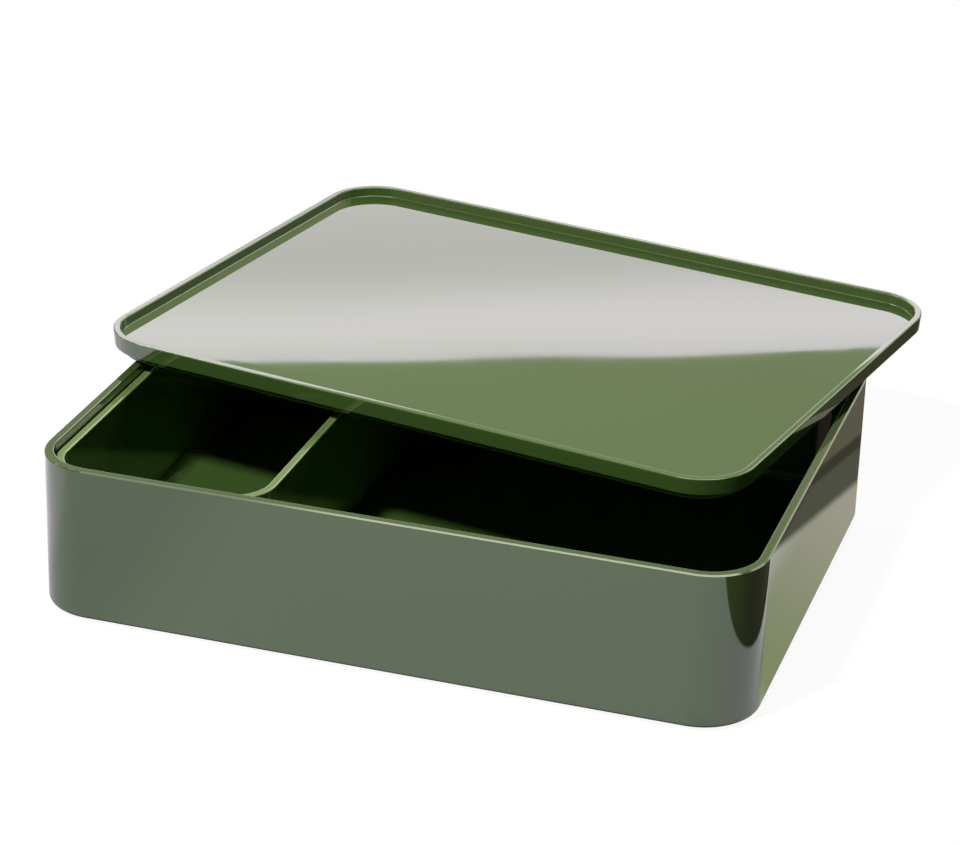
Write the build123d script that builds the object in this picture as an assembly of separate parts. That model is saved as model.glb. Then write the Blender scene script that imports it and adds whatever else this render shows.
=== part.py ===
from build123d import *
import os

# Desk organizer: an open box on four feet, a loose insert tray that stands in its left side,
# and a loose lid with a raised rim.  Millimetres.  The origin is the centre of the box's flat
# underside, +Z is up, -Y is the front and +X is to the right.

# Box
BOX_LENGTH = 250.0
BOX_DEPTH = 190.0
BOX_HEIGHT = 55.4
BOX_CORNER_RADIUS = 20.5
BOX_RIM_WIDTH = 3.3
BOX_FLOOR_THICKNESS = 3.0
BOX_INNER_DRAFT = 0.5
BOX_FLOOR_FILLET = 5.0
BOX_BASE_FILLET = 2.0
BOX_RIM_EDGE = 0.4

# Feet
FOOT_DIAMETER = 14.0
FOOT_STAND_OUT = 1.0
FOOT_SEAT_DEPTH = 0.8
FOOT_SEAT_CLEARANCE = 0.2
FOOT_EDGE = 0.4
FOOT_CORNER_DISTANCE = 26.0

# Insert tray
TRAY_LENGTH = 78.6
TRAY_WALL_CLEARANCE = 0.5
TRAY_BASE_CLEARANCE = 2.0
TRAY_RIM_WIDTH = 2.9
TRAY_FLOOR_THICKNESS = 2.5
TRAY_OUTER_DRAFT = 0.8
TRAY_INNER_DRAFT = 1.1
TRAY_FLOOR_FILLET = 5.0
TRAY_RIM_EDGE = 0.4

# Lid
LID_SIDE_HEIGHT = 6.0
LID_SIDE_DRAFT = 4.5
LID_RIM_WIDTH = 2.5
LID_RECESS_DEPTH = 3.7
LID_RECESS_DRAFT = 2.0
LID_RIM_EDGE = 0.4

# Lip under the lid, which fits inside the box's rim and over the tray's
LIP_HEIGHT = 3.0
LIP_THICKNESS = 1.8
LIP_WALL_CLEARANCE = 0.5
LIP_TRAY_CLEARANCE = 0.2
LIP_DRAFT = 2.0
LIP_EDGE = 0.4

# Where the loose lid lies: its centre on the box, and its turn about the vertical
LID_SHIFT_X = -1.1
LID_SHIFT_Y = 66.4
LID_TURN = -10.3

# Length, depth and corner radius, seen from above, which the lid shares
BOX_OUTLINE = (BOX_LENGTH, BOX_DEPTH, BOX_CORNER_RADIUS)


def inset(outline, distance):
    """The length, depth and corner radius of an outline that runs at a distance inside another."""
    length, depth, radius = outline
    return (length - 2 * distance, depth - 2 * distance, radius - distance)


def drafted_block(outline, top, height, draft):
    """A block with a rounded outline at the height top, drawn in by the draft angle below it."""
    return extrude(Plane.XY.offset(top) * RectangleRounded(*outline), amount=-height, taper=draft)


def edges_at(part, height):
    """The edges that lie wholly at one height."""
    return part.edges().filter_by_position(Axis.Z, height - 0.001, height + 0.001)


def foot_centres():
    """The four feet's centres, each the same distance in from the two sides at its corner."""
    x = BOX_LENGTH / 2 - FOOT_CORNER_DISTANCE
    y = BOX_DEPTH / 2 - FOOT_CORNER_DISTANCE
    return {
        "foot_front_left": (-x, -y),
        "foot_front_right": (x, -y),
        "foot_back_left": (-x, y),
        "foot_back_right": (x, y),
    }


def make_box():
    """The open shell: upright sides, a drafted inside with a rounded floor edge, foot seats."""
    body = drafted_block(BOX_OUTLINE, BOX_HEIGHT, BOX_HEIGHT, 0)
    body = fillet(edges_at(body, 0), BOX_BASE_FILLET)
    hollow_outline = inset(BOX_OUTLINE, BOX_RIM_WIDTH)
    hollow_depth = BOX_HEIGHT - BOX_FLOOR_THICKNESS
    hollow = drafted_block(hollow_outline, BOX_HEIGHT, hollow_depth, BOX_INNER_DRAFT)
    body -= fillet(edges_at(hollow, BOX_FLOOR_THICKNESS), BOX_FLOOR_FILLET)
    body = chamfer(edges_at(body, BOX_HEIGHT), BOX_RIM_EDGE)
    seat = extrude(Circle(FOOT_DIAMETER / 2 + FOOT_SEAT_CLEARANCE), amount=FOOT_SEAT_DEPTH)
    for x, y in foot_centres().values():
        body -= Pos(x, y, 0) * seat
    return body


def make_foot(x, y):
    """A soft disc seated in the underside, with the edge that it stands on broken."""
    disc = extrude(Circle(FOOT_DIAMETER / 2), amount=FOOT_SEAT_DEPTH + FOOT_STAND_OUT)
    disc = chamfer(edges_at(disc, 0), FOOT_EDGE)
    return Pos(x, y, -FOOT_STAND_OUT) * disc


def make_tray():
    """The insert: a full-depth tray that stands on the box's floor, along its left wall."""
    wall_distance = BOX_RIM_WIDTH + TRAY_WALL_CLEARANCE
    depth, radius = inset(BOX_OUTLINE, wall_distance)[1:]
    outline = (TRAY_LENGTH, depth, radius)
    top = BOX_HEIGHT - LIP_HEIGHT - LIP_TRAY_CLEARANCE
    floor_top = BOX_FLOOR_THICKNESS + TRAY_FLOOR_THICKNESS
    body = drafted_block(outline, top, top - BOX_FLOOR_THICKNESS, TRAY_OUTER_DRAFT)
    body = fillet(edges_at(body, BOX_FLOOR_THICKNESS), BOX_FLOOR_FILLET + TRAY_BASE_CLEARANCE)
    hollow = drafted_block(inset(outline, TRAY_RIM_WIDTH), top, top - floor_top, TRAY_INNER_DRAFT)
    body -= fillet(edges_at(hollow, floor_top), TRAY_FLOOR_FILLET)
    body = chamfer(edges_at(body, top), TRAY_RIM_EDGE)
    return Pos((TRAY_LENGTH - BOX_LENGTH) / 2 + wall_distance, 0, 0) * body


def make_lip():
    """The ring under the lid that centres it when closed, from height 0 up to LIP_HEIGHT."""
    outline = inset(BOX_OUTLINE, BOX_RIM_WIDTH + LIP_WALL_CLEARANCE)
    ring = drafted_block(outline, LIP_HEIGHT, LIP_HEIGHT, LIP_DRAFT)
    ring -= drafted_block(inset(outline, LIP_THICKNESS), LIP_HEIGHT, LIP_HEIGHT, -LIP_DRAFT)
    return chamfer(edges_at(ring, 0), LIP_EDGE)


def make_lid():
    """The lid about its own centre, standing on the foot of its lip at height 0."""
    top = LIP_HEIGHT + LID_SIDE_HEIGHT
    body = drafted_block(BOX_OUTLINE, top, LID_SIDE_HEIGHT, LID_SIDE_DRAFT)
    recess_outline = inset(BOX_OUTLINE, LID_RIM_WIDTH)
    body -= drafted_block(recess_outline, top, LID_RECESS_DEPTH, LID_RECESS_DRAFT)
    body = chamfer(edges_at(body, top), LID_RIM_EDGE)
    return body + make_lip()


def make_parts():
    """Every piece at its place, by the name of its node."""
    lid_place = Pos(LID_SHIFT_X, LID_SHIFT_Y, BOX_HEIGHT) * Rot(0, 0, LID_TURN)
    pieces = {
        "box": make_box(),
        "insert_tray": make_tray(),
        "lid": lid_place * make_lid(),
    }
    for name, (x, y) in foot_centres().items():
        pieces[name] = make_foot(x, y)
    return pieces


os.makedirs("parts", exist_ok=True)
for name, piece in make_parts().items():
    export_step(piece, f"parts/{name}.step")
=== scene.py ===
"""Desk organizer: an open box on four feet, a loose insert tray in its left side, a loose lid."""
import math

import bpy
import numpy as np
from bpy.props import FloatProperty, FloatVectorProperty, PointerProperty
from mathutils import Matrix, Vector


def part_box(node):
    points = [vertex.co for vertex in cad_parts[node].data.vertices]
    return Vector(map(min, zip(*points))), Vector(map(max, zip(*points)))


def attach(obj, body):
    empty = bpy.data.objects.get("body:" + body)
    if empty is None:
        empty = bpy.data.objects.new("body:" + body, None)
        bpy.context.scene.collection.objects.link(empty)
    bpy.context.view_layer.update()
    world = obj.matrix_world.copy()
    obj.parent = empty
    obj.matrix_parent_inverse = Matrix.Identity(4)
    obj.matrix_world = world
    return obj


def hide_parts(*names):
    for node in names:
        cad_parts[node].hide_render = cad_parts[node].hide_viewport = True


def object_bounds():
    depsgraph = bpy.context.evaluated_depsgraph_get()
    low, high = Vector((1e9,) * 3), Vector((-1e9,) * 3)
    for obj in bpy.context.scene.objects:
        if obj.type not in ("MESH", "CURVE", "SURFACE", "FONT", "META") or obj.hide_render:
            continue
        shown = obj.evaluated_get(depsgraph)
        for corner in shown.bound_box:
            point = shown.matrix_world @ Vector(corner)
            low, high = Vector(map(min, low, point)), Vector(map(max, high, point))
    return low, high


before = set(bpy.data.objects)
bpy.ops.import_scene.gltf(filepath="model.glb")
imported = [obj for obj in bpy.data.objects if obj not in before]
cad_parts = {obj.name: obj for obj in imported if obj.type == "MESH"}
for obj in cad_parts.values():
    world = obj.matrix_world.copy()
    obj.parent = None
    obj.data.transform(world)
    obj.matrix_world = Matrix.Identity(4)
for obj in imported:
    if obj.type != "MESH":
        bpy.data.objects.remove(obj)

bl_info = {
    "name": "Desk Organizer",
    "version": (1, 0, 0),
    "blender": (4, 5, 0),
    "location": "3D View > Sidebar > Organizer",
    "description": "Makes a desk organizer box with its feet, insert tray and loose lid",
    "category": "Object",
}

CAD_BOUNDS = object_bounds()
BOX_LOW, BOX_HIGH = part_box("box")
TRAY_LOW, TRAY_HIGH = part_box("insert_tray")
LID_LOW, LID_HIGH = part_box("lid")
MM = 0.001


# Sizes and colours

def length_property(name, description, default_mm):
    """A length that is written in millimetres and kept in metres."""
    return FloatProperty(
        name=name, description=description, default=default_mm * MM,
        subtype="DISTANCE", unit="LENGTH", precision=5,
    )


def angle_property(name, description, default_degrees):
    """An angle that is written in degrees and kept in radians."""
    return FloatProperty(
        name=name, description=description, default=math.radians(default_degrees),
        subtype="ANGLE", unit="ROTATION",
    )


def share_property(name, description, default, highest=1.0):
    """A plain number from nothing up to a highest value."""
    return FloatProperty(
        name=name, description=description, default=default, min=0.0, max=highest, precision=3
    )


def colour_property(name, description, default):
    """A colour in linear red, green and blue."""
    return FloatVectorProperty(
        name=name, description=description, default=default, size=3, subtype="COLOR",
        min=0.0, max=1.0,
    )


class OrganizerBoxSizes(bpy.types.PropertyGroup):
    """The box's own sizes: its length, depth and height come from the frame."""
    corner_radius: length_property("Corner radius", "Radius of the outline seen from above", 20.5)
    rim_width: length_property("Rim width", "Width of the wall's top", 3.3)
    inner_draft: angle_property("Inner draft", "How far the inner walls lean", 0.5)
    floor_thickness: length_property("Floor", "Thickness of the floor", 3.0)
    floor_fillet: length_property("Floor fillet", "Rounding between wall and floor inside", 5.0)
    base_fillet: length_property("Base fillet", "Rounding of the outer lower edge", 2.0)
    rim_rounding: length_property("Rim rounding", "Rounding of the rim's inner edge", 0.5)
    outer_bevel: length_property("Outer bevel", "Width of the bevel on the rim's outer edge", 0.5)
    bevel_rounding: length_property("Bevel rounding", "Rounding of the bevel's edges", 0.1)


class OrganizerTraySizes(bpy.types.PropertyGroup):
    """The insert tray's own sizes: its outer size and place come from the frame."""
    wall_distance: length_property("Wall distance", "From the box's outside to the tray", 3.8)
    rim_width: length_property("Rim width", "Width of the wall's top", 2.9)
    outer_draft: angle_property("Outer draft", "How far the outer walls lean", 0.8)
    inner_draft: angle_property("Inner draft", "How far the inner walls lean", 1.1)
    floor_thickness: length_property("Floor", "Thickness of the floor", 2.5)
    floor_fillet: length_property("Floor fillet", "Rounding between wall and floor inside", 5.0)
    base_fillet: length_property("Base fillet", "Rounding of the outer lower edge", 7.0)
    rim_rounding: length_property("Rim rounding", "Rounding of both edges of the rim", 0.5)


class OrganizerLidSizes(bpy.types.PropertyGroup):
    """The lid's own sizes: its outline is the box's, and its place comes from the frame."""
    turn: angle_property("Turn", "Turn about the vertical, as it lies on the box", -10.3)
    side_height: length_property("Side height", "Height of the side above the lip", 6.0)
    side_draft: angle_property("Side draft", "How far the side leans in below its top", 4.5)
    rim_width: length_property("Rim width", "Width of the raised rim", 2.5)
    rim_fall: angle_property("Rim fall", "How far the rim's top leans inwards", 0.75)
    recess_depth: length_property("Recess depth", "How far the plate lies below the rim", 3.7)
    recess_draft: angle_property("Recess draft", "How far the recess wall leans", 2.0)
    recess_fillet: length_property("Recess fillet", "Rounding between plate and rim", 0.4)
    rim_rounding: length_property("Rim rounding", "Rounding of both edges of the rim", 0.45)
    lower_rounding: length_property("Lower rounding", "Rounding of the side's lower edge", 0.35)
    lip_height: length_property("Lip height", "How far the lip reaches below the side", 3.0)
    lip_thickness: length_property("Lip thickness", "Thickness of the lip at its root", 1.8)
    lip_distance: length_property("Lip distance", "From the outline to the lip's root", 3.8)
    lip_draft: angle_property("Lip draft", "How far the lip's sides lean", 2.0)
    lip_rounding: length_property("Lip rounding", "Rounding of the lip's edges", 0.35)
    sink: length_property("Sink", "How far the plate sinks in its middle", 0.078)
    warp: length_property("Warp", "Height of the plate's slow waves from the mould", 0.06)


class OrganizerFootSizes(bpy.types.PropertyGroup):
    """The feet's own sizes: their diameter, height and places come from the frame."""
    edge_rounding: length_property("Edge rounding", "Rounding of the edge it stands on", 0.4)


class OrganizerFinish(bpy.types.PropertyGroup):
    """The colours and gloss of the plastic and the feet, and the painted light and shade on the
    rims.
    """
    green: colour_property("Green", "Colour of the plastic", (0.066, 0.130, 0.028))
    roughness: share_property("Roughness", "Roughness of the polished plastic", 0.02)
    # Painted shade: the box's rim gets a darker green than the body, standing in for how the light
    # falls on it.
    box_rim_painted_shade: colour_property("Box rim", "Colour of the box's rim", (0.042, 0.080, 0.016))
    # Painted light: the tray's thin rim gets a lighter green than the body, standing in for the
    # light it catches.
    tray_rim_painted_light: colour_property("Tray rim", "Colour of the tray's thin rim", (0.175, 0.255, 0.078))
    # Painted highlight: this makes the rims' rounded edges lighter in colour, standing in for their
    # highlights.
    painted_edge_highlight: share_property("Edge light", "How much lighter a rim's edges look", 0.3, 5.0)
    index: share_property("Index", "Refractive index of the plastic", 1.8, 3.0)
    rubber: colour_property("Rubber", "Colour of the feet", (0.03, 0.03, 0.03))


class OrganizerStage(bpy.types.PropertyGroup):
    """The floor, the lights and the camera."""
    key_power: share_property("Key power", "Power of the main light", 8.9, 100.0)
    key_place: FloatVectorProperty(
        name="Key place", description="Where the main light hangs", size=3, subtype="TRANSLATION",
        unit="LENGTH", default=(-0.194, -0.596, 0.91),
    )
    camera_place: FloatVectorProperty(
        name="Camera place", description="Where the camera stands", size=3, subtype="TRANSLATION",
        unit="LENGTH", default=(0.303706, -0.969030, 0.509461), precision=6,
    )
    camera_azimuth: angle_property("Azimuth", "Camera's turn about the vertical", 17.180)
    camera_elevation: angle_property("Elevation", "Camera's height above the horizon", 24.316)
    camera_roll: angle_property("Roll", "Camera's turn about its own view", 1.650)
    lens: FloatProperty(name="Lens", description="Focal length in millimetres", default=119.764)


# Shapes

# Steps on each corner and straight run of an outline, and on each arc of a profile
ARC_STEPS = 28
RUN_STEPS = 10
PROFILE_STEPS = 8

# Rings of faces in the flat plate inside each end of a profile
PLATE_RINGS = 8
LID_PLATE_RINGS = 36
FOOT_PLATE_RINGS = 3

# Where a profile begins and ends inside its outline, in corner radii
PROFILE_START = 0.6
TRAY_PROFILE_START = 0.8
FOOT_PROFILE_START = 0.8

# How far each half of a rim's top leans away from its middle, and half the length of the arc
# between the halves, in rim widths
RIM_CROWN = math.radians(0.25)
CROWN_REACH = 0.2

# Slow waves that the mould left in the lid's plate, along X and along Y: length and phase
WAVE_ACROSS = (0.158, 0.41)
WAVE_BACK = (0.214, 0.08)


def outline_frames(length, depth, radius):
    """Points that a rounded rectangle's outline turns about, and the way that it faces there.
    On a corner the turning point is the corner's centre and the facing turns through a quarter.
    On a straight run the facing stays, and the turning point moves on to the next centre."""
    quarters = np.arange(4)[:, None]
    signs = np.array([[1, 1], [-1, 1], [-1, -1], [1, -1]])
    centres = signs * [length / 2 - radius, depth / 2 - radius]
    along = np.linspace(0, 1, ARC_STEPS + 1)
    is_round = abs(centres).max() < 1e-9
    if is_round:
        along = along[:-1]
    angles = (quarters + along) * math.pi / 2
    turning = np.repeat(centres[:, None, :], len(along), axis=1)
    if not is_round:
        part = np.linspace(0, 1, RUN_STEPS + 1)[1:-1]
        run = centres[:, None, :] * (1 - part[:, None])
        run = run + np.roll(centres, -1, axis=0)[:, None, :] * part[:, None]
        run_angles = np.broadcast_to((quarters + 1) * math.pi / 2, (4, len(part)))
        angles = np.concatenate([angles, run_angles], axis=1)
        turning = np.concatenate([turning, run], axis=1)
    angles = angles.reshape(-1)
    facing = np.stack([np.cos(angles), np.sin(angles)], axis=-1)
    return turning.reshape(-1, 2), facing


def rounded_profile(corners):
    """A line through corners of reach, height and rounding, with a tangent arc at each corner.
    With u and w the directions before and after a corner and b the turn between them, the arc
    starts r tan(b / 2) before the corner, and its direction is u turned by a growing share of b.
    The normal is the direction turned a quarter to the right.  A corner may have a fourth number,
    its edge share, which its whole arc gets.  Returns points, normals and edge shares."""
    corners = np.array([corner + (0,) * (4 - len(corner)) for corner in corners], float)
    points, radii = corners[:, :2], corners[1:-1, 2]
    steps = np.diff(points, axis=0)
    steps /= np.linalg.norm(steps, axis=1)[:, None]
    before, after = steps[:-1], steps[1:]
    turn = np.arctan2(
        before[:, 0] * after[:, 1] - before[:, 1] * after[:, 0], (before * after).sum(axis=1)
    )
    start = points[1:-1] - before * (radii * np.tan(abs(turn) / 2))[:, None]
    side = np.sign(turn) * radii
    left = np.stack([-before[:, 1], before[:, 0]], axis=-1)
    centre = start + left * side[:, None]
    share = np.linspace(0, 1, PROFILE_STEPS + 1)
    heading = np.arctan2(before[:, 1], before[:, 0])[:, None] + turn[:, None] * share
    normals = np.stack([np.sin(heading), -np.cos(heading)], axis=-1)
    arcs = centre[:, None, :] + normals * side[:, None, None]
    first = np.array([[steps[0, 1], -steps[0, 0]]])
    last = np.array([[steps[-1, 1], -steps[-1, 0]]])
    path = np.concatenate([points[:1], arcs.reshape(-1, 2), points[-1:]])
    edge = np.concatenate([[0.0], np.repeat(corners[1:-1, 3], len(share)), [0.0]])
    return path, np.concatenate([first, normals.reshape(-1, 2), last]), edge


def rim_corners(width, height, rounding, fall, bevel=0, bevel_rounding=0):
    """Corners of a rim's top: outer edge, middle and inner edge.  The top falls inwards, its
    outer half a little less than its inner half, and a flat arc joins the halves.  The outer
    edge is rounded, or has a bevel with rounded edges."""
    outer_drop = width / 2 * math.tan(fall - RIM_CROWN)
    inner_drop = outer_drop + width / 2 * math.tan(fall + RIM_CROWN)
    crown_radius = CROWN_REACH * width / math.tan(RIM_CROWN)
    outer_edge = [(0, height, rounding, 1)]
    if bevel:
        outer_edge = [(0, height - bevel, bevel_rounding, 1), (-bevel, height, bevel_rounding, 1)]
    return [
        *outer_edge,
        (-width / 2, height - outer_drop, crown_radius, 0),
        (-width, height - inner_drop, rounding, 1),
    ]


def carried_shell(outline, corners, rings, warp=None):
    """A closed shell: the profile carried round the outline, and a flat plate inside each end.
    A point is the outline's turning point plus (radius + reach) times its facing, at the
    profile's height.  In the plates, that point is drawn towards the centre by a growing share.
    warp lifts the last plate by a function of x and y, and tilts its normals by its slopes."""
    turning, facing = outline_frames(*outline)
    path, path_normals, edge = rounded_profile(corners)
    around = turning[None] + facing[None] * (outline[2] + path[:, 0])[:, None, None]
    heights = np.broadcast_to(path[:, 1][:, None, None], around.shape[:2] + (1,))
    walls = np.concatenate([around, heights], axis=2)
    level = path_normals[:, 0][:, None, None] * facing[None]
    upright = np.broadcast_to(path_normals[:, 1][:, None, None], heights.shape)
    wall_normals = np.concatenate([level, upright], axis=2)
    shares = np.linspace(0, 1, rings + 1)[1:-1][:, None, None]
    shrink = np.concatenate([shares, shares, np.ones_like(shares)], axis=2)
    lower_plate = walls[0][None] * shrink
    upper_plate = walls[-1][None] * shrink[::-1]
    lower_normals = np.broadcast_to([0.0, 0.0, -1.0], lower_plate.shape)
    upper_normals = np.broadcast_to([0.0, 0.0, 1.0], upper_plate.shape).copy()
    top_centre = np.array([[0.0, 0.0, path[-1, 1]]])
    top_normal = np.array([[0.0, 0.0, 1.0]])
    if warp is not None:
        upper_plate[..., 2] += warp(upper_plate[..., 0], upper_plate[..., 1])
        step = 1e-5
        for axis, shift in enumerate(np.eye(2) * step):
            ahead = warp(upper_plate[..., 0] + shift[0], upper_plate[..., 1] + shift[1])
            behind = warp(upper_plate[..., 0] - shift[0], upper_plate[..., 1] - shift[1])
            upper_normals[..., axis] = -(ahead - behind) / (2 * step)
        upper_normals /= np.linalg.norm(upper_normals, axis=2)[..., None]
        top_centre[:, 2] += warp(top_centre[:, 0], top_centre[:, 1])
    rows = np.concatenate([lower_plate, walls, upper_plate])
    row_edges = np.pad(edge, len(shares))[:, None] * np.ones(len(facing))
    row_normals = np.concatenate([lower_normals, wall_normals, upper_normals])
    bottom_centre = np.array([[0.0, 0.0, path[0, 1]]])
    points = np.concatenate([rows.reshape(-1, 3), bottom_centre, top_centre])
    normals = np.concatenate([row_normals.reshape(-1, 3), [[0.0, 0.0, -1.0]], top_normal])
    edges = np.concatenate([row_edges.ravel(), [0.0, 0.0]])
    return points, normals, edges, shell_faces(*rows.shape[:2])


def shell_faces(row_count, column_count):
    """Quads between neighbouring rows, and a fan of triangles from each end row to its centre."""
    index = np.arange(row_count * column_count).reshape(row_count, column_count)
    following = np.roll(index, -1, axis=1)
    quads = np.stack([index[:-1], following[:-1], following[1:], index[1:]], axis=-1)
    bottom = np.full(column_count, row_count * column_count)
    fans = np.concatenate([
        np.stack([bottom, following[0], index[0]], axis=-1),
        np.stack([bottom + 1, index[-1], following[-1]], axis=-1),
    ])
    return quads.reshape(-1, 4), fans


def placed(points, normals, low, high, turn=0.0):
    """Points turned about the vertical and then moved from the origin to the lower middle of
    the box between two corners, and normals turned alike."""
    cosine, sine = math.cos(turn), math.sin(turn)
    matrix = np.array([[cosine, -sine, 0.0], [sine, cosine, 0.0], [0.0, 0.0, 1.0]])
    middle = (low + high) / 2
    shift = np.array([middle.x, middle.y, low.z])
    return points @ matrix.T + shift, normals @ matrix.T


def make_piece(name, points, normals, edges, faces, material):
    """A mesh object at the origin, from whole arrays of points, normals, quads and triangles.
    The edge shares are kept on its points, for the material."""
    quads, fans = faces
    corner_counts = np.concatenate([np.full(len(quads), 4), np.full(len(fans), 3)])
    mesh = bpy.data.meshes.new(name)
    mesh.vertices.add(len(points))
    mesh.vertices.foreach_set("co", points.astype(np.float32).ravel())
    mesh.loops.add(int(corner_counts.sum()))
    mesh.loops.foreach_set("vertex_index", np.concatenate([quads.ravel(), fans.ravel()]))
    mesh.polygons.add(len(corner_counts))
    starts = np.concatenate([[0], np.cumsum(corner_counts)[:-1]])
    mesh.polygons.foreach_set("loop_start", starts)
    mesh.update(calc_edges=True)
    mesh.validate()
    mesh.shade_smooth()
    mesh.normals_split_custom_set_from_vertices(normals.astype(np.float32))
    mesh.attributes.new("edge", "FLOAT", "POINT").data.foreach_set("value", edges.astype(np.float32))
    mesh.materials.append(material)
    piece = bpy.data.objects.new(name, mesh)
    bpy.context.scene.collection.objects.link(piece)
    return piece


def add_to_part(piece, body, slot, *nodes):
    """The piece moves with its body and stands for the nodes.  The slot is not used."""
    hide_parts(*nodes)
    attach(piece, body)


# Materials

# How far below a rim its painted tone and painted edge highlight fade out, and how near they are
# full
RIM_PAINT_REACH = (1.0 * MM, 0.3 * MM)


def add_node(tree, kind, values=None, **settings):
    """A node with its settings, and values for its sockets by name or number."""
    node = tree.nodes.new(kind)
    for name, value in settings.items():
        setattr(node, name, value)
    for socket, value in (values or {}).items():
        node.inputs[socket].default_value = value
    return node


def ranged(tree, socket, values, **settings):
    """A number carried over to another range, whose ends are given as the node's values."""
    node = add_node(tree, "ShaderNodeMapRange", values, **settings)
    tree.links.new(socket, node.inputs["Value"])
    return node.outputs["Result"]


def smooth_range(tree, socket, low, high):
    """A socket that goes smoothly from 0 at the low value to 1 at the high one."""
    ends = {"From Min": low, "From Max": high}
    return ranged(tree, socket, ends, interpolation_type="SMOOTHSTEP")


def band(tree, socket, start, full, fading, end):
    """A socket that rises from 0 to 1 between the first two values and falls between the rest."""
    rising = smooth_range(tree, socket, start, full)
    return product(tree, rising, smooth_range(tree, socket, end, fading))


def blended(tree, share, first, second):
    """A colour socket between two colours, each a value or a socket."""
    mix = add_node(tree, "ShaderNodeMix", data_type="RGBA")
    tree.links.new(share, mix.inputs[0])
    for socket, colour in ((mix.inputs[6], first), (mix.inputs[7], second)):
        if isinstance(colour, bpy.types.NodeSocket):
            tree.links.new(colour, socket)
        else:
            socket.default_value = (*colour, 1.0)
    return mix.outputs[2]


def combined(tree, operation, first, second):
    """A number worked out from two numbers, each a value or a socket."""
    node = add_node(tree, "ShaderNodeMath", operation=operation)
    for socket, number in zip(node.inputs, (first, second)):
        if isinstance(number, bpy.types.NodeSocket):
            tree.links.new(number, socket)
        else:
            socket.default_value = number
    return node.outputs[0]


def product(tree, first, *others):
    """The product of numbers, each a value or a socket."""
    result = first
    for other in others:
        result = combined(tree, "MULTIPLY", result, other)
    return result


def place_sockets(tree):
    """The object coordinates, whole and as their parts.  In a world they are directions."""
    place = add_node(tree, "ShaderNodeTexCoord").outputs["Object"]
    parts = add_node(tree, "ShaderNodeSeparateXYZ")
    tree.links.new(place, parts.inputs[0])
    return place, parts.outputs


def along(tree, place, direction):
    """How far a place lies in a direction, as a socket."""
    node = add_node(tree, "ShaderNodeVectorMath", {1: direction}, operation="DOT_PRODUCT")
    tree.links.new(place, node.inputs[0])
    return node.outputs["Value"]


def noise(tree, place, values):
    """A noise texture at a place."""
    node = add_node(tree, "ShaderNodeTexNoise", values)
    tree.links.new(place, node.inputs["Vector"])
    return node


def emptied_tree(owner):
    """The node tree of a material or a world, without its nodes."""
    owner.use_nodes = True
    owner.node_tree.nodes.clear()
    return owner.node_tree


def new_material(name):
    """An empty node material, and its Principled BSDF joined to its output."""
    material = bpy.data.materials.new(name)
    tree = emptied_tree(material)
    output = add_node(tree, "ShaderNodeOutputMaterial")
    shader = add_node(tree, "ShaderNodeBsdfPrincipled")
    tree.links.new(shader.outputs["BSDF"], output.inputs["Surface"])
    return material, tree, shader


def moulded_group():
    """Polished moulded plastic: slow waves in the surface, faint flow lines in the colour, a
    rougher haze in patches, and on the rim a painted tone for its light and shade, with painted
    highlights on its rounded edges."""
    name = "moulded plastic"
    if name in bpy.data.node_groups:
        return bpy.data.node_groups[name]
    group = bpy.data.node_groups.new(name, "ShaderNodeTree")
    sockets = [
        ("Colour", "INPUT", "NodeSocketColor"),
        ("Rim Height", "INPUT", "NodeSocketFloat"),
        ("Painted Rim Tone", "INPUT", "NodeSocketColor"),
        ("Painted Edge Highlight", "INPUT", "NodeSocketFloat"),
        ("Roughness", "INPUT", "NodeSocketFloat"),
        ("Wave Size", "INPUT", "NodeSocketFloat"),
        ("Wave Strength", "INPUT", "NodeSocketFloat"),
        ("Base Colour", "OUTPUT", "NodeSocketColor"),
        ("Surface Roughness", "OUTPUT", "NodeSocketFloat"),
        ("Normal", "OUTPUT", "NodeSocketVector"),
    ]
    for socket_name, direction, kind in sockets:
        group.interface.new_socket(socket_name, in_out=direction, socket_type=kind)
    given = add_node(group, "NodeGroupInput").outputs
    made = add_node(group, "NodeGroupOutput").inputs
    place, parts = place_sockets(group)
    link = group.links.new

    waves = noise(group, place, {"Detail": 0.5, "Roughness": 0.3})
    link(combined(group, "DIVIDE", 1.0, given["Wave Size"]), waves.inputs["Scale"])
    bump = add_node(group, "ShaderNodeBump", {"Distance": 0.001})
    link(given["Wave Strength"], bump.inputs["Strength"])
    link(waves.outputs["Fac"], bump.inputs["Height"])
    link(bump.outputs["Normal"], made["Normal"])

    below_rim = combined(group, "SUBTRACT", given["Rim Height"], parts["Z"])
    near_rim = smooth_range(group, below_rim, *RIM_PAINT_REACH)
    edge = add_node(group, "ShaderNodeAttribute", attribute_name="edge").outputs["Fac"]
    # Painted highlight: the rim's rounded edges get a lighter colour.
    highlight_lift = product(group, edge, given["Painted Edge Highlight"], near_rim)
    flow = noise(group, place, {"Scale": 14.0, "Detail": 3.0, "Distortion": 0.6})
    tint = ranged(group, flow.outputs["Fac"], {"To Min": 0.965, "To Max": 1.035})
    level = product(group, combined(group, "ADD", highlight_lift, 1.0), tint)
    # Painted light and shade: near its top the rim takes the painted rim tone.
    colour = blended(group, near_rim, given["Colour"], given["Painted Rim Tone"])
    shade = add_node(group, "ShaderNodeVectorMath", operation="SCALE")
    link(colour, shade.inputs[0])
    link(level, shade.inputs["Scale"])
    link(shade.outputs["Vector"], made["Base Colour"])

    haze = noise(group, place, {"Scale": 45.0, "Detail": 5.0, "Roughness": 0.6})
    dull = ranged(
        group, haze.outputs["Fac"],
        {"From Min": 0.35, "From Max": 0.75, "To Min": 0.9, "To Max": 1.35},
    )
    link(product(group, given["Roughness"], dull), made["Surface Roughness"])
    return group


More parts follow.
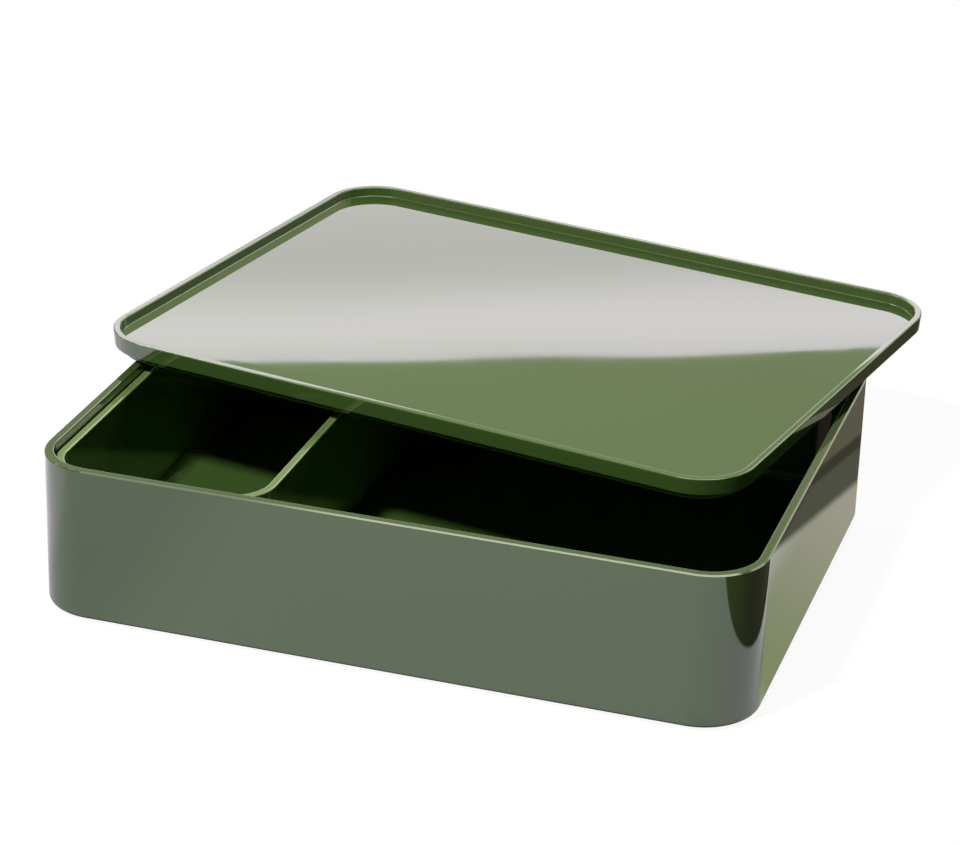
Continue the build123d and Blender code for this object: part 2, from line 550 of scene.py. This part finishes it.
def green_plastic(name, wave_size, wave_strength, rim_height, painted_rim_tone):
    """Glossy green moulded plastic, with waves of its own size and a rim at its own height.
    The rim gets a painted tone and painted highlights on its edges.
    """
    if name in bpy.data.materials:
        return bpy.data.materials[name]
    finish = bpy.context.scene.organizer_finish
    material, tree, shader = new_material(name)
    values = {
        "Colour": (*finish.green, 1.0),
        "Rim Height": rim_height,
        "Painted Rim Tone": (*painted_rim_tone, 1.0),
        "Painted Edge Highlight": finish.painted_edge_highlight,
        "Roughness": finish.roughness,
        "Wave Size": wave_size,
        "Wave Strength": wave_strength,
    }
    surface = add_node(tree, "ShaderNodeGroup", node_tree=moulded_group())
    for socket, value in values.items():
        surface.inputs[socket].default_value = value
    tree.links.new(surface.outputs["Base Colour"], shader.inputs["Base Color"])
    tree.links.new(surface.outputs["Surface Roughness"], shader.inputs["Roughness"])
    tree.links.new(surface.outputs["Normal"], shader.inputs["Normal"])
    shader.inputs["IOR"].default_value = finish.index
    return material


def foot_rubber():
    """Dull dark rubber with a fine grain."""
    name = "foot rubber"
    if name in bpy.data.materials:
        return bpy.data.materials[name]
    material, tree, shader = new_material(name)
    place = add_node(tree, "ShaderNodeTexCoord").outputs["Object"]
    grain = noise(tree, place, {"Scale": 2500.0, "Detail": 3.0})
    bump = add_node(tree, "ShaderNodeBump", {"Strength": 0.4, "Distance": 0.0001})
    tree.links.new(grain.outputs["Fac"], bump.inputs["Height"])
    tree.links.new(bump.outputs["Normal"], shader.inputs["Normal"])
    tone = ranged(tree, grain.outputs["Fac"], {"To Min": 0.8, "To Max": 1.2})
    rubber = tuple(bpy.context.scene.organizer_finish.rubber)
    shade = add_node(tree, "ShaderNodeVectorMath", {0: rubber}, operation="SCALE")
    tree.links.new(tone, shade.inputs["Scale"])
    tree.links.new(shade.outputs["Vector"], shader.inputs["Base Color"])
    shader.inputs["Roughness"].default_value = 0.75
    return material


# The pieces

class ORGANIZER_OT_make_box(bpy.types.Operator):
    """Make the open box with its rounded rim, drafted inside and rounded floor"""
    bl_idname = "organizer.make_box"
    bl_label = "Box"

    def execute(self, context):
        sizes = context.scene.organizer_box
        length, depth, height = BOX_HIGH - BOX_LOW
        lean = (height - sizes.floor_thickness) * math.tan(sizes.inner_draft)
        flat = -PROFILE_START * sizes.corner_radius
        corners = [
            (flat, 0, 0),
            (0, 0, sizes.base_fillet),
            *rim_corners(
                sizes.rim_width, height, sizes.rim_rounding, RIM_CROWN,
                sizes.outer_bevel, sizes.bevel_rounding,
            ),
            (-sizes.rim_width - lean, sizes.floor_thickness, sizes.floor_fillet),
            (flat, sizes.floor_thickness, 0),
        ]
        outline = (length, depth, sizes.corner_radius)
        points, normals, edges, faces = carried_shell(outline, corners, PLATE_RINGS)
        points, normals = placed(points, normals, BOX_LOW, BOX_HIGH)
        # The box's darker rim green is a painted shade.
        material = green_plastic(
            "green box", wave_size=0.16, wave_strength=0.02, rim_height=BOX_HIGH.z,
            painted_rim_tone=context.scene.organizer_finish.box_rim_painted_shade,
        )
        piece = make_piece("box_shell", points, normals, edges, faces, material)
        add_to_part(piece, "box_body", "green_plastic", "box")
        return {"FINISHED"}


class ORGANIZER_OT_make_insert_tray(bpy.types.Operator):
    """Make the insert tray that stands inside the box"""
    bl_idname = "organizer.make_insert_tray"
    bl_label = "Insert tray"

    def execute(self, context):
        sizes = context.scene.organizer_tray
        length, depth, height = TRAY_HIGH - TRAY_LOW
        radius = context.scene.organizer_box.corner_radius - sizes.wall_distance
        outer_lean = height * math.tan(sizes.outer_draft)
        inner_lean = (height - sizes.floor_thickness) * math.tan(sizes.inner_draft)
        flat = -TRAY_PROFILE_START * radius
        corners = [
            (flat, 0, 0),
            (-outer_lean, 0, sizes.base_fillet),
            *rim_corners(sizes.rim_width, height, sizes.rim_rounding, RIM_CROWN),
            (-sizes.rim_width - inner_lean, sizes.floor_thickness, sizes.floor_fillet),
            (flat, sizes.floor_thickness, 0),
        ]
        outline = (length, depth, radius)
        points, normals, edges, faces = carried_shell(outline, corners, PLATE_RINGS)
        points, normals = placed(points, normals, TRAY_LOW, TRAY_HIGH)
        # The tray's lighter rim green is painted light.
        material = green_plastic(
            "green tray", wave_size=0.12, wave_strength=0.02, rim_height=TRAY_HIGH.z,
            painted_rim_tone=context.scene.organizer_finish.tray_rim_painted_light,
        )
        piece = make_piece("insert_tray_shell", points, normals, edges, faces, material)
        add_to_part(piece, "insert_body", "green_plastic", "insert_tray")
        return {"FINISHED"}


class ORGANIZER_OT_make_lid(bpy.types.Operator):
    """Make the loose lid with its raised rim, polished plate and locating lip"""
    bl_idname = "organizer.make_lid"
    bl_label = "Lid"

    def execute(self, context):
        sizes = context.scene.organizer_lid
        radius = context.scene.organizer_box.corner_radius
        length, depth, _ = BOX_HIGH - BOX_LOW
        top = sizes.lip_height + sizes.side_height
        plate = top - sizes.recess_depth
        lip_lean = sizes.lip_height * math.tan(sizes.lip_draft)
        side_lean = sizes.side_height * math.tan(sizes.side_draft)
        recess_lean = sizes.recess_depth * math.tan(sizes.recess_draft)
        lip_inside = sizes.lip_distance + sizes.lip_thickness
        flat = -PROFILE_START * radius
        corners = [
            (flat, sizes.lip_height, 0),
            (-lip_inside, sizes.lip_height, sizes.lip_rounding),
            (lip_lean - lip_inside, 0, sizes.lip_rounding),
            (-lip_lean - sizes.lip_distance, 0, sizes.lip_rounding),
            (-sizes.lip_distance, sizes.lip_height, sizes.lip_rounding),
            (-side_lean, sizes.lip_height, sizes.lower_rounding),
            *rim_corners(sizes.rim_width, top, sizes.rim_rounding, sizes.rim_fall),
            (-sizes.rim_width - recess_lean, plate, sizes.recess_fillet),
            (flat, plate, 0),
        ]
        half = np.array([length, depth]) / 2 + flat

        def warp(x, y):
            """A shallow dish plus a product of two slow waves.  Both fade to nothing at the
            plate's edge, as one less the square of x and of y in shares of the half sizes."""
            fade = (1 - np.clip(x / half[0], -1, 1) ** 2) * (1 - np.clip(y / half[1], -1, 1) ** 2)
            wave = np.cos(x * math.tau / WAVE_ACROSS[0] + WAVE_ACROSS[1])
            wave = wave * np.sin(y * math.tau / WAVE_BACK[0] + WAVE_BACK[1])
            return fade * (sizes.warp * wave - sizes.sink)

        outline = (length, depth, radius)
        points, normals, edges, faces = carried_shell(outline, corners, LID_PLATE_RINGS, warp)
        points, normals = placed(points, normals, LID_LOW, LID_HIGH, sizes.turn)
        # The lid's rim keeps the plain green, and its edges get the painted highlight.
        material = green_plastic(
            "green lid", wave_size=0.14, wave_strength=0.004, rim_height=LID_HIGH.z,
            painted_rim_tone=context.scene.organizer_finish.green,
        )
        piece = make_piece("lid_shell", points, normals, edges, faces, material)
        add_to_part(piece, "lid_body", "green_plastic", "lid")
        return {"FINISHED"}


class ORGANIZER_OT_make_feet(bpy.types.Operator):
    """Make the four rubber feet"""
    bl_idname = "organizer.make_feet"
    bl_label = "Feet"

    def execute(self, context):
        rounding = context.scene.organizer_feet.edge_rounding
        material = foot_rubber()
        for node in sorted(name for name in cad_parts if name.startswith("foot_")):
            low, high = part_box(node)
            diameter, _, height = high - low
            flat = -FOOT_PROFILE_START * diameter / 2
            corners = [
                (flat, 0, 0),
                (0, 0, rounding),
                (0, height, rounding / 2),
                (flat, height, 0),
            ]
            outline = (diameter, diameter, diameter / 2)
            points, normals, edges, faces = carried_shell(outline, corners, FOOT_PLATE_RINGS)
            points, normals = placed(points, normals, low, high)
            piece = make_piece(node + "_pad", points, normals, edges, faces, material)
            add_to_part(piece, "box_body", "foot_rubber", node)
        return {"FINISHED"}


# The stage

# In a pair of places, heights or sides below, a tone starts at the first and is full at the
# second.  Lengths are metres from the middle of the box, and colours are linear.

# The pale sheet that mirrors see on the floor.  It ends in a straight edge at the right, is a
# little dimmer at the left, and is brighter at the far left but for the back.
SHEET_ACROSS = (1.0, 0.2364, 0.0)
SHEET_END = (0.1588, 0.1548)
SHEET_PALE = (1.15, 1.21, 1.12)
SHEET_DIM = (0.93, 0.89, 0.97)
SHEET_DIM_RANGE = (-0.070, -0.125)
SHEET_LEFT = (1.33, 1.22, 1.38)
SHEET_LEFT_ACROSS = (1.0, -0.6, 0.0)
SHEET_LEFT_RANGE = (-0.090, -0.148)
SHEET_LEFT_LENGTH = (0.060, 0.035)

# The box's soft shadow on the sheet, beside its right wall, with a slanted end in front
SHADOW_ALONG = (-1.54, 1.0, 0.0)
SHADOW_SIDE = (-0.285, -0.250)
SHADOW_START = (0.10, 0.12)
SHADOW_END = (0.155, 0.139)
SHADOW_LENGTH = (-0.045, 0.095)
SHADOW_FRONT = (0.52, 0.61, 0.335)
SHADOW_BACK = (0.76, 0.73, 0.58)

# Darker tones that mirrors see past the sheet's edge, with a darker band near that edge
BAND_ACROSS = (1.0, 0.235, 0.0)
BAND_NEAR_SIDE = (0.1684, 0.1708)
BAND_TURN = (0.1458, 0.1471)
BAND_END = (0.1757, 0.1733)
BAND_FAR_SIDE = (0.1733, 0.1757)
PAST_SHEET_NEAR = (0.175, 0.175, 0.128)
PAST_SHEET_BAND = (0.090, 0.085, 0.061)
PAST_SHEET_FAR = (0.23, 0.205, 0.15)
PAST_SHEET_RIGHT_RANGE = (0.160, 0.185)
PAST_SHEET_RIGHT = (0.125, 0.125, 0.075)

# The floor itself.  WHITE and MIRROR are the shares of its look that glow for the camera and
# for mirrors, and the rest is lit.  CONTACT is where the painted shade under the box ends,
# outwards from the box's outline.
FLOOR_SIZE = 30.0
FLOOR_BOUNCE = (0.12, 0.12, 0.12)
FLOOR_COLOUR = (1.0, 1.0, 1.0)
FLOOR_GLOW = (1.06, 1.06, 1.06)
FLOOR_WHITE_SHARE = 0.88
FLOOR_MIRROR_SHARE = 0.92
CONTACT_SEEN = (-8 * MM, -4 * MM)
CONTACT_MIRRORED = (-1.5 * MM, 1.5 * MM)

# The room, by the direction in which it is seen: a height is the direction's Z, and a side is
# its X unless an ACROSS direction is given.  Four heights are where a band starts, is full,
# fades and ends.
ROOM_SEEN = (1.0, 1.0, 1.0)
ROOM_FILL = (0.012, 0.012, 0.012)
ROOM_BEHIND = (-0.1, 0.1)
ROOM_LOW = (0.645, 0.685, 0.46)
ROOM_RAISED = (0.57, 0.68, 0.36)
ROOM_LOW_RANGE = (0.425, 0.458)
ROOM_DARK = (0.03, 0.03, 0.025)
ROOM_FRONT = (0.85, 0.62, 0.52)
ROOM_FRONT_SIDE = (-0.25, -0.42)

# The bright wall at the back right, and the pale strip above it
ROOM_SIDE = (1.8, 1.75, 1.5)
ROOM_SIDE_START = (-0.06, -0.01)
ROOM_SIDE_HEIGHT = (0.385, 0.400, 0.60, 0.66)
ROOM_STRIP = (2.7, 2.8, 2.3)
ROOM_STRIP_RANGE = (0.483, 0.495, 0.60, 0.66)

# The large lamp overhead in front, dimmer towards the left, and the small one at its left
ROOM_TOP = (5.4, 5.4, 4.5)
ROOM_TOP_MIDDLE = (2.0, 2.0, 1.7)
ROOM_TOP_DIM = (0.45, 0.45, 0.35)
ROOM_TOP_RANGE = (0.62, 0.66, 0.94, 0.97)
ROOM_TOP_LEFT = (-0.43, -0.39)
ROOM_TOP_RIGHT = (-0.34, -0.30)
ROOM_CORNER = (9.0, 9.3, 8.5)
ROOM_CORNER_ACROSS = (1.0, -0.12, 0.0)
ROOM_CORNER_SIDE = (-0.478, -0.492)
ROOM_CORNER_HEIGHT = (0.79, 0.82)

# The soft boxes behind the part and at its right.  Stops are shares of height and levels.
SOFTBOX_DISTANCE = 2.0
CARD_AZIMUTH = math.radians(16)
CARD_TOP = 0.8963
CARD_TILT = math.radians(3.51)
CARD_WIDTH = 1.6
CARD_STRENGTH = 3.13
CARD_TINT = (1.0, 0.907, 0.987)
CARD_STOPS = ((0.80, 0.72), (0.876, 0.685), (0.971, 1.0), (1.0, 0.93))
SIDE_AZIMUTH = math.radians(-46)
SIDE_HEIGHT = 1.15
SIDE_WIDTH = 1.8
SIDE_STRENGTH = 2.8
SIDE_TINT = (0.96, 0.93, 0.68)
SIDE_STOPS = ((0.0, 0.6), (0.42, 0.72), (0.60, 0.36), (0.71, 0.38), (0.79, 1.0))

# The lamps, which mirrors don't see
KEY_SIZE = 0.13
BACK_LIGHT_PLACE = (0.0, 1.65, 1.35)
BACK_LIGHT_WIDTH = 1.5
BACK_LIGHT_DEPTH = 0.6
BACK_LIGHT_RADIANCE = 6.0

# The camera's sensor in millimetres, and how far it sees in metres
SENSOR_WIDTH = 36.0
VIEW_REACH = 100.0


def light_path(tree):
    """Two sockets: 1 for rays from the camera, and 1 for rays from a mirror or through glass."""
    path = add_node(tree, "ShaderNodeLightPath").outputs
    mirrored = combined(tree, "MAXIMUM", path["Is Glossy Ray"], path["Is Transmission Ray"])
    return path["Is Camera Ray"], mirrored


def past_sheet_colour(tree, place, parts):
    """The darker tones past the sheet: nearer the sheet, in the darker band, past the band and far
    to the right.
    """
    across_past_sheet = along(tree, place, BAND_ACROSS)
    past_near_side = combined(
        tree, "MAXIMUM",
        smooth_range(tree, across_past_sheet, *BAND_NEAR_SIDE),
        smooth_range(tree, parts["X"], *BAND_TURN),
    )
    in_band = product(tree, past_near_side, smooth_range(tree, across_past_sheet, *BAND_END))
    beyond_band = smooth_range(tree, across_past_sheet, *BAND_FAR_SIDE)
    colour = blended(tree, beyond_band, PAST_SHEET_NEAR, PAST_SHEET_FAR)
    colour = blended(tree, in_band, colour, PAST_SHEET_BAND)
    return blended(tree, smooth_range(tree, parts["X"], *PAST_SHEET_RIGHT_RANGE), colour, PAST_SHEET_RIGHT)


def sheet_colour(tree, place, parts):
    """The pale sheet, with the box's soft shadow on it."""
    leftwards = product(
        tree,
        smooth_range(tree, along(tree, place, SHEET_LEFT_ACROSS), *SHEET_LEFT_RANGE),
        smooth_range(tree, parts["Y"], *SHEET_LEFT_LENGTH),
    )
    in_shadow = product(
        tree,
        smooth_range(tree, along(tree, place, SHADOW_ALONG), *SHADOW_SIDE),
        smooth_range(tree, parts["X"], *SHADOW_START),
        smooth_range(tree, parts["X"], *SHADOW_END),
    )
    backwards = smooth_range(tree, parts["Y"], *SHADOW_LENGTH)
    shadow = blended(tree, backwards, SHADOW_FRONT, SHADOW_BACK)
    dimmer = smooth_range(tree, parts["X"], *SHEET_DIM_RANGE)
    pale = blended(tree, dimmer, SHEET_PALE, SHEET_DIM)
    pale = blended(tree, leftwards, pale, SHEET_LEFT)
    return blended(tree, in_shadow, pale, shadow)


def mirrored_floor(tree, place, parts):
    """The floor that mirrors show: the pale sheet, and the darker tones beyond its edge."""
    on_sheet = smooth_range(tree, along(tree, place, SHEET_ACROSS), *SHEET_END)
    darker_past_sheet = past_sheet_colour(tree, place, parts)
    return blended(tree, on_sheet, darker_past_sheet, sheet_colour(tree, place, parts))


def under_box(tree, place, dark_at, pale_at):
    """A socket that is 0 under the box and 1 outside, between two distances from its outline.
    Beyond the corners' centres, the distance to them is compared with the corner radius."""
    radius = bpy.context.scene.organizer_box.corner_radius
    outside = add_node(tree, "ShaderNodeVectorMath", operation="ABSOLUTE")
    tree.links.new(place, outside.inputs[0])
    centre = (BOX_HIGH.x - radius, BOX_HIGH.y - radius, 1.0)
    beyond = add_node(tree, "ShaderNodeVectorMath", {1: centre}, operation="SUBTRACT")
    tree.links.new(outside.outputs["Vector"], beyond.inputs[0])
    positive = add_node(tree, "ShaderNodeVectorMath", {1: (0, 0, 0)}, operation="MAXIMUM")
    tree.links.new(beyond.outputs["Vector"], positive.inputs[0])
    distance = add_node(tree, "ShaderNodeVectorMath", operation="LENGTH")
    tree.links.new(positive.outputs["Vector"], distance.inputs[0])
    return smooth_range(tree, distance.outputs["Value"], radius + dark_at, radius + pale_at)


def floor_material():
    """A pale floor.  The camera sees white with a faint shadow, mirrors see the sheet and darker
    tones past it, and only a little light goes back to the part.  Under the box is painted shade."""
    material = bpy.data.materials.new("floor")
    tree = emptied_tree(material)
    link = tree.links.new
    output = add_node(tree, "ShaderNodeOutputMaterial")
    camera_ray, mirror_ray = light_path(tree)
    place, parts = place_sockets(tree)
    mirrored = mirrored_floor(tree, place, parts)
    lit = add_node(tree, "ShaderNodeBsdfDiffuse")
    lit_colour = blended(tree, mirror_ray, FLOOR_BOUNCE, mirrored)
    link(blended(tree, camera_ray, lit_colour, FLOOR_COLOUR), lit.inputs["Color"])
    glow = add_node(tree, "ShaderNodeEmission")
    link(blended(tree, camera_ray, mirrored, FLOOR_GLOW), glow.inputs["Color"])
    # Painted shade under the box: its glow fades out there, for the camera and for mirrors.
    seen_level = product(tree, under_box(tree, place, *CONTACT_SEEN), camera_ray)
    level = combined(tree, "MAXIMUM", under_box(tree, place, *CONTACT_MIRRORED), seen_level)
    link(level, glow.inputs["Strength"])
    share = combined(
        tree, "ADD",
        product(tree, camera_ray, FLOOR_WHITE_SHARE),
        product(tree, mirror_ray, FLOOR_MIRROR_SHARE),
    )
    mix = add_node(tree, "ShaderNodeMixShader")
    link(share, mix.inputs[0])
    link(lit.outputs[0], mix.inputs[1])
    link(glow.outputs[0], mix.inputs[2])
    link(mix.outputs[0], output.inputs["Surface"])
    return material


def softbox_material(name, height, strength, tint, stops):
    """A soft box's glowing front.  Its level follows stops of height share and level."""
    material = bpy.data.materials.new(name)
    tree = emptied_tree(material)
    output = add_node(tree, "ShaderNodeOutputMaterial")
    _, parts = place_sockets(tree)
    rise = ranged(tree, parts["Y"], {"From Min": -height / 2, "From Max": height / 2})
    ramp = add_node(tree, "ShaderNodeValToRGB")
    ramp.color_ramp.interpolation = "EASE"
    marks = ramp.color_ramp.elements
    while len(marks) < len(stops):
        marks.new(0.5)
    for mark, (position, level) in zip(marks, stops):
        mark.position = position
        mark.color = (*(level * part for part in tint), 1.0)
    tree.links.new(rise, ramp.inputs["Fac"])
    glow = add_node(tree, "ShaderNodeEmission", {"Strength": strength})
    tree.links.new(ramp.outputs["Color"], glow.inputs["Color"])
    tree.links.new(glow.outputs[0], output.inputs["Surface"])
    return material


def set_world():
    """A dim room: white to the camera and a little light on the part.  Mirrors see it grey
    behind the part and dark in front but for the left, with a bright wall and a pale strip at
    the back, and a large and a small lamp overhead."""
    world = bpy.data.worlds.new("studio")
    bpy.context.scene.world = world
    tree = emptied_tree(world)
    output = add_node(tree, "ShaderNodeOutputWorld")
    camera_ray, mirror_ray = light_path(tree)
    direction, parts = place_sockets(tree)
    side = parts["X"]
    height = parts["Z"]
    behind = smooth_range(tree, parts["Y"], *ROOM_BEHIND)
    in_front = combined(tree, "SUBTRACT", 1.0, behind)

    back = blended(tree, smooth_range(tree, height, *ROOM_LOW_RANGE), ROOM_LOW, ROOM_RAISED)
    front = blended(tree, smooth_range(tree, side, *ROOM_FRONT_SIDE), ROOM_DARK, ROOM_FRONT)
    room = blended(tree, behind, front, back)
    wall_height = band(tree, height, *ROOM_SIDE_HEIGHT)
    wall = product(tree, behind, smooth_range(tree, side, *ROOM_SIDE_START), wall_height)
    room = blended(tree, wall, room, ROOM_SIDE)
    strip = product(tree, band(tree, height, *ROOM_STRIP_RANGE), behind)
    room = blended(tree, strip, room, ROOM_STRIP)
    top = product(tree, band(tree, height, *ROOM_TOP_RANGE), in_front)
    lamp = blended(tree, smooth_range(tree, side, *ROOM_TOP_LEFT), ROOM_TOP_DIM, ROOM_TOP_MIDDLE)
    lamp = blended(tree, smooth_range(tree, side, *ROOM_TOP_RIGHT), lamp, ROOM_TOP)
    room = blended(tree, top, room, lamp)
    corner = product(
        tree,
        smooth_range(tree, along(tree, direction, ROOM_CORNER_ACROSS), *ROOM_CORNER_SIDE),
        smooth_range(tree, height, *ROOM_CORNER_HEIGHT),
    )
    room = blended(tree, corner, room, ROOM_CORNER)

    seen = blended(tree, mirror_ray, ROOM_FILL, room)
    seen = blended(tree, camera_ray, seen, ROOM_SEEN)
    background = add_node(tree, "ShaderNodeBackground", {"Strength": 1.0})
    tree.links.new(seen, background.inputs["Color"])
    tree.links.new(background.outputs[0], output.inputs["Surface"])


def flat_panel(name, width, height, matrix, material):
    """A rectangle about the origin of a matrix, width along its X and height along its Y."""
    corners = np.array([[-1, -1, 0], [1, -1, 0], [1, 1, 0], [-1, 1, 0]]) * [width / 2, height / 2, 0]
    mesh = bpy.data.meshes.new(name)
    mesh.from_pydata(corners.tolist(), [], [(0, 1, 2, 3)])
    mesh.materials.append(material)
    panel = bpy.data.objects.new(name, mesh)
    panel.matrix_world = matrix
    bpy.context.scene.collection.objects.link(panel)
    return panel


def stand_softbox(name, azimuth, width, height, strength, tint, stops, tilt=0.0):
    """A soft box that stands on the floor's level and faces the part, azimuth to the left of
    the part's back, with its face turned by tilt.  The camera doesn't see it."""
    matrix = (
        Matrix.Rotation(azimuth, 4, "Z")
        @ Matrix.Translation((0, SOFTBOX_DISTANCE, height / 2))
        @ Matrix.Rotation(math.radians(90), 4, "X")
        @ Matrix.Rotation(-tilt, 4, "Z")
    )
    material = softbox_material(name, height, strength, tint, stops)
    panel = flat_panel(name, width, height, matrix, material)
    panel.visible_camera = False
    panel.visible_shadow = False
    return panel


def hang_lamp(name, place, power, **settings):
    """An area light that is turned to the origin.  Neither the camera nor mirrors see it."""
    light = bpy.data.lights.new(name, "AREA")
    light.energy = power
    for setting, value in settings.items():
        setattr(light, setting, value)
    lamp = bpy.data.objects.new(name, light)
    lamp.location = place
    lamp.rotation_mode = "QUATERNION"
    lamp.rotation_quaternion = Vector(place).to_track_quat("Z", "Y")
    lamp.visible_camera = False
    lamp.visible_glossy = False
    bpy.context.scene.collection.objects.link(lamp)


def place_camera(stage):
    """The camera, which becomes the scene's own."""
    camera = bpy.data.cameras.new("camera")
    camera.lens = stage.lens
    camera.sensor_width = SENSOR_WIDTH
    camera.clip_end = VIEW_REACH
    view = bpy.data.objects.new("camera", camera)
    view.matrix_world = (
        Matrix.Translation(stage.camera_place)
        @ Matrix.Rotation(stage.camera_azimuth, 4, "Z")
        @ Matrix.Rotation(math.pi / 2 - stage.camera_elevation, 4, "X")
        @ Matrix.Rotation(stage.camera_roll, 4, "Z")
    )
    bpy.context.scene.collection.objects.link(view)
    bpy.context.scene.camera = view


class ORGANIZER_OT_set_stage(bpy.types.Operator):
    """Set the floor, the lights, the world and the camera"""
    bl_idname = "organizer.set_stage"
    bl_label = "Stage"

    def execute(self, context):
        stage = context.scene.organizer_stage
        floor_place = Matrix.Translation((0, 0, CAD_BOUNDS[0].z))
        flat_panel("floor", FLOOR_SIZE, FLOOR_SIZE, floor_place, floor_material())
        hang_lamp("key light", stage.key_place, stage.key_power, shape="DISK", size=KEY_SIZE)
        back_light_area = BACK_LIGHT_WIDTH * BACK_LIGHT_DEPTH
        hang_lamp(
            "back light", BACK_LIGHT_PLACE, BACK_LIGHT_RADIANCE * math.pi * back_light_area,
            shape="RECTANGLE", size=BACK_LIGHT_WIDTH, size_y=BACK_LIGHT_DEPTH,
        )
        stand_softbox(
            "softbox", CARD_AZIMUTH, CARD_WIDTH, CARD_TOP, CARD_STRENGTH, CARD_TINT, CARD_STOPS,
            CARD_TILT,
        )
        side = stand_softbox(
            "side softbox", SIDE_AZIMUTH, SIDE_WIDTH, SIDE_HEIGHT, SIDE_STRENGTH, SIDE_TINT,
            SIDE_STOPS,
        )
        side.visible_diffuse = False
        set_world()
        place_camera(stage)
        context.scene.view_settings.view_transform = "Standard"
        return {"FINISHED"}


class ORGANIZER_PT_panel(bpy.types.Panel):
    """The organizer's sizes, finish and pieces"""
    bl_idname = "ORGANIZER_PT_panel"
    bl_label = "Desk Organizer"
    bl_space_type = "VIEW_3D"
    bl_region_type = "UI"
    bl_category = "Organizer"

    def draw(self, context):
        layout = self.layout
        for attribute, group in PROPERTY_GROUPS.items():
            box = layout.box()
            box.label(text=attribute.replace("_", " ").capitalize())
            for name in group.__annotations__:
                box.prop(getattr(context.scene, attribute), name)
        for operator in OPERATORS:
            layout.operator(operator.bl_idname)


PROPERTY_GROUPS = {
    "organizer_box": OrganizerBoxSizes,
    "organizer_tray": OrganizerTraySizes,
    "organizer_lid": OrganizerLidSizes,
    "organizer_feet": OrganizerFootSizes,
    "organizer_finish": OrganizerFinish,
    "organizer_stage": OrganizerStage,
}
OPERATORS = (
    ORGANIZER_OT_set_stage,
    ORGANIZER_OT_make_box,
    ORGANIZER_OT_make_insert_tray,
    ORGANIZER_OT_make_lid,
    ORGANIZER_OT_make_feet,
)


def register():
    for attribute, group in PROPERTY_GROUPS.items():
        bpy.utils.register_class(group)
        setattr(bpy.types.Scene, attribute, PointerProperty(type=group))
    for operator in OPERATORS:
        bpy.utils.register_class(operator)
    bpy.utils.register_class(ORGANIZER_PT_panel)


def unregister():
    bpy.utils.unregister_class(ORGANIZER_PT_panel)
    for operator in reversed(OPERATORS):
        bpy.utils.unregister_class(operator)
    for attribute, group in PROPERTY_GROUPS.items():
        delattr(bpy.types.Scene, attribute)
        bpy.utils.unregister_class(group)


def main():
    """Make every piece in order."""
    register()
    bpy.ops.organizer.set_stage()
    bpy.ops.organizer.make_box()
    bpy.ops.organizer.make_insert_tray()
    bpy.ops.organizer.make_lid()
    bpy.ops.organizer.make_feet()


if __name__ == "__main__":
    main()
